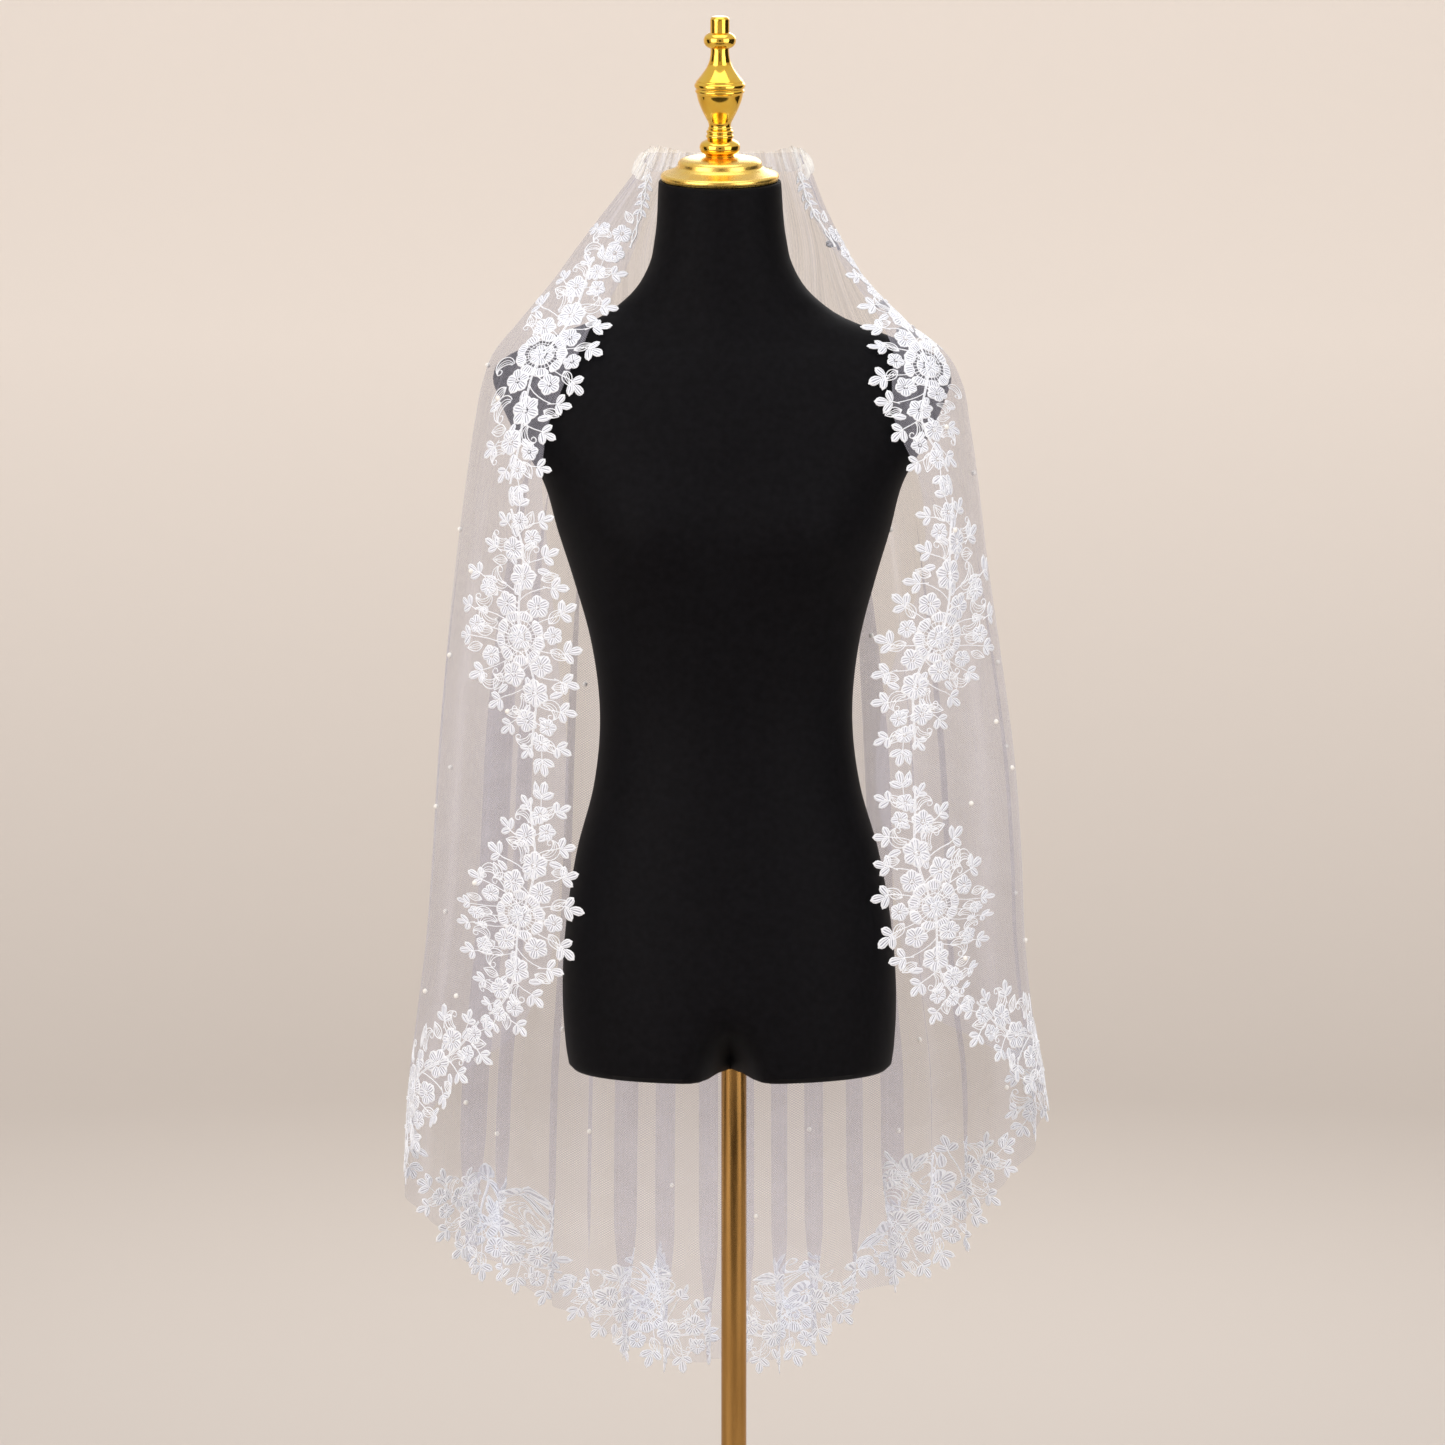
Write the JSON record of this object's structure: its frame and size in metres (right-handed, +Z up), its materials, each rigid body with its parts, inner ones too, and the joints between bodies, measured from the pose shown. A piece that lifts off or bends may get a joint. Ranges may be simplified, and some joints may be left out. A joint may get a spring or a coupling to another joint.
{
  "type": "bridal veil on limbless dress form",
  "caption": "Sheer tulle bridal veil with a raised floral lace border, gathered on a comb and worn over the shoulders of a limbless dress form on a round-based pole stand.",
  "frame": {"origin": "on the floor, under the middle of the pole, in the flat underside of the base plate", "axes": "+Z up along the pole; -Y is the front of the form and of the picture; +X is the viewer's right"},
  "size_m": [0.5822, 0.3761, 1.6236],
  "materials": {
    "ivory_tulle": "soft fine net, matt, see-through",
    "white_lace": "corded and satin-stitched lace, soft sheen on the stitches",
    "clear_comb": "clear moulded plastic",
    "black_jersey": "smooth matt knit drawn tight",
    "polished_gold": "gold plated, polished",
    "brushed_brass": "brass plated tube, polished, a little worn",
    "black_enamel": "black semi-gloss enamel"
  },
  "bodies": {
    "root": {"form_torso": "black_jersey", "neck_cap": "polished_gold", "finial": "polished_gold", "base_plate": "black_enamel", "pole": "brushed_brass", "pole_collar": "brushed_brass", "veil_tulle": "ivory_tulle", "comb": "clear_comb", "heading_band": "ivory_tulle", "trim_left": "white_lace", "trim_right": "white_lace", "lace_01": "white_lace", "lace_02": "white_lace", "lace_03": "white_lace", "lace_04": "white_lace", "lace_05": "white_lace", "lace_06": "white_lace", "lace_07": "white_lace", "lace_08": "white_lace", "lace_09": "white_lace", "lace_10": "white_lace", "lace_11": "white_lace", "lace_12": "white_lace"}
  },
  "joints": []
}
